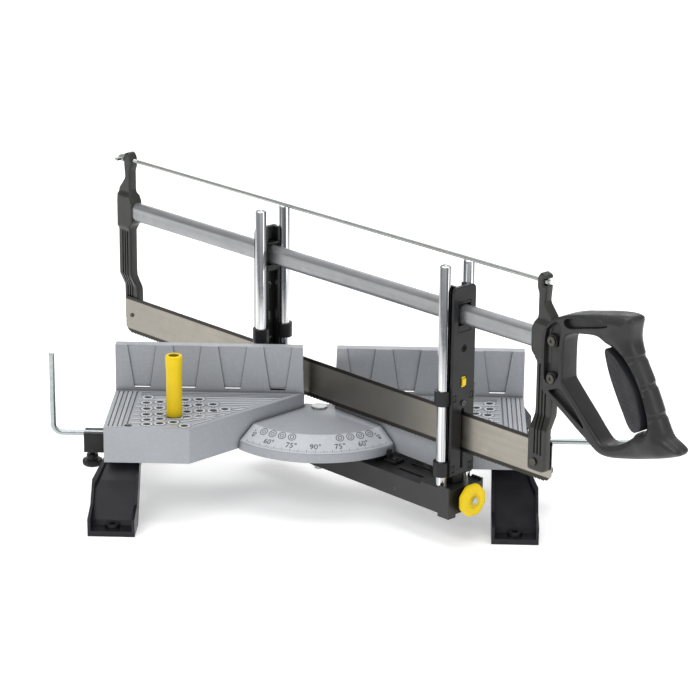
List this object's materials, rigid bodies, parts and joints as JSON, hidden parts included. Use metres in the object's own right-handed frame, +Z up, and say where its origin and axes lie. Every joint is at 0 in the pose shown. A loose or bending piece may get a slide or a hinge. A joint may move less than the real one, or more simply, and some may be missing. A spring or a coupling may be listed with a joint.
{
  "type": "mitre box saw",
  "caption": "Clamping mitre box: slotted fence beds on two legs, angle quadrant, swinging arm with guide rods and a tensioned frame saw with a closed handle.",
  "frame": {"origin": "on the ground at the centre of the four foot holes, straight under the pivot of the arm", "axes": "+X along the fence, +Y from the front to the back, +Z up; the arm rests at its 45 degree limit towards +X -Y"},
  "size_m": [0.5457, 0.5109, 0.264],
  "materials": {
    "grey_casting": "satin grey paint on a die casting",
    "bright_scale": "bright satin strip with printed divisions",
    "leg_plastic": "blue-black moulded plastic",
    "zinc": "bright zinc plate",
    "black_casting": "black powder coat",
    "black_plastic": "black moulded plastic",
    "chrome": "polished chrome plate",
    "yellow_plastic": "yellow moulded plastic",
    "blade_steel": "warm ground steel",
    "spine_aluminium": "grey satin tube",
    "dark_casting": "dark grey paint on a casting",
    "handle_plastic": "dark grey moulded plastic",
    "grip_rubber": "soft textured rubber"
  },
  "bodies": {
    "base": {"left_bed": "grey_casting", "right_bed": "grey_casting", "left_leg": "leg_plastic", "right_leg": "leg_plastic", "leg_screws": "zinc", "quadrant": "grey_casting", "angle_scale": "bright_scale", "pivot_bolt": "zinc", "pivot_washer": "zinc", "pivot_nut": "zinc", "rear_tie_bar": "zinc", "tie_bar_screws": "zinc", "quadrant_screws": "zinc", "left_stop_bracket": "black_plastic", "right_stop_bracket": "black_plastic", "stop_bracket_screws": "zinc"},
    "arm": {"arm_casting": "black_casting", "front_rods": "chrome", "rear_rods": "chrome", "rod_set_screws": "zinc", "front_stop_block": "black_plastic", "rear_stop_block": "black_plastic", "scale_pointer": "black_plastic", "pointer_screw": "zinc", "rocker_pin": "zinc"},
    "lock_knob": {"lock_knob": "yellow_plastic", "lock_screw": "zinc"},
    "lock_shoe": {"lock_shoe": "black_casting"},
    "release_rocker": {"release_rocker": "black_casting"},
    "index_plunger": {"index_plunger": "zinc"},
    "front_guide": {"front_guide": "black_plastic", "front_guide_bushings": "black_plastic", "front_spine_pads": "black_plastic", "front_guide_screw": "zinc"},
    "rear_guide": {"rear_guide": "black_plastic", "rear_guide_bushings": "black_plastic", "rear_spine_pads": "black_plastic", "rear_guide_screw": "zinc"},
    "carry_latch": {"carry_latch": "yellow_plastic"},
    "saw": {"saw_blade": "blade_steel", "frame_spine": "spine_aluminium", "rear_post": "dark_casting", "front_post": "dark_casting", "blade_pins": "zinc", "tension_rod": "zinc", "tension_end_nut": "zinc", "handle": "handle_plastic", "grip_inserts": "grip_rubber", "handle_screws": "zinc"},
    "tension_nut": {"tension_wing_nut": "zinc"},
    "length_stop": {"length_stop_rod": "chrome"},
    "left_thumbscrew": {"left_stop_thumbscrew": "black_plastic"},
    "right_thumbscrew": {"right_stop_thumbscrew": "black_plastic"},
    "clamp_peg": {"clamp_peg": "zinc"},
    "clamp_cam": {"clamp_cam": "yellow_plastic"}
  },
  "joints": [
    {"name": "arm_swing", "type": "hinge", "parent": "base", "child": "arm", "pos_m": [0, 0, 0.05], "axis": [0, 0, 1], "range_deg": [-90, 0]},
    {"name": "lock_turn", "type": "hinge", "parent": "arm", "child": "lock_knob", "pos_m": [0.13435, -0.13435, 0.0423], "axis": [0.7071, -0.7071, 0], "range_deg": [0, 360]},
    {"name": "lock_shoe_slide", "type": "slide", "parent": "arm", "child": "lock_shoe", "axis": [0.7071, -0.7071, 0], "range_m": [-0.00125, 0]},
    {"name": "rocker_tilt", "type": "hinge", "parent": "arm", "child": "release_rocker", "pos_m": [0.08485, -0.08485, 0.037], "axis": [0.7071, 0.7071, 0], "range_deg": [0, 3.7]},
    {"name": "plunger_slide", "type": "slide", "parent": "arm", "child": "index_plunger", "axis": [0, 0, 1], "range_m": [0, 0.0035]},
    {"name": "front_guide_lift", "type": "slide", "parent": "arm", "child": "front_guide", "axis": [0, 0, 1], "range_m": [0, 0.1]},
    {"name": "rear_guide_lift", "type": "slide", "parent": "arm", "child": "rear_guide", "axis": [0, 0, 1], "range_m": [0, 0.1]},
    {"name": "latch_slide", "type": "slide", "parent": "front_guide", "child": "carry_latch", "axis": [0.7071, -0.7071, 0], "range_m": [0, 0.003]},
    {"name": "saw_stroke", "type": "slide", "parent": "front_guide", "child": "saw", "axis": [0.7071, -0.7071, 0], "range_m": [-0.077, 0.172]},
    {"name": "tension_turn", "type": "hinge", "parent": "saw", "child": "tension_nut", "pos_m": [-0.19516, 0.19516, 0.2558], "axis": [0.7071, -0.7071, 0], "range_deg": [-180, 180]},
    {"name": "stop_slide", "type": "slide", "parent": "base", "child": "length_stop", "axis": [1, 0, 0], "range_m": [-0.08, 0.018]},
    {"name": "left_thumbscrew_turn", "type": "hinge", "parent": "base", "child": "left_thumbscrew", "pos_m": [-0.2015, -0.04, 0.035], "axis": [0, 0, 1], "range_deg": [-180, 180]},
    {"name": "right_thumbscrew_turn", "type": "hinge", "parent": "base", "child": "right_thumbscrew", "pos_m": [0.2015, -0.04, 0.035], "axis": [0, 0, 1], "range_deg": [-180, 180]},
    {"name": "peg_lift", "type": "slide", "parent": "base", "child": "clamp_peg", "axis": [0, 0, 1], "range_m": [0, 0.03]},
    {"name": "cam_turn", "type": "hinge", "parent": "clamp_peg", "child": "clamp_cam", "pos_m": [-0.125, -0.0675, 0.1], "axis": [0, 0, 1], "continuous": true}
  ],
  "couplings": [
    {"joint": "lock_shoe_slide", "follows": "lock_turn", "m_per_rad": -0.00019894},
    {"joint": "plunger_slide", "follows": "rocker_tilt", "m_per_rad": 0.054},
    {"joint": "rear_guide_lift", "follows": "front_guide_lift", "ratio": 1}
  ]
}
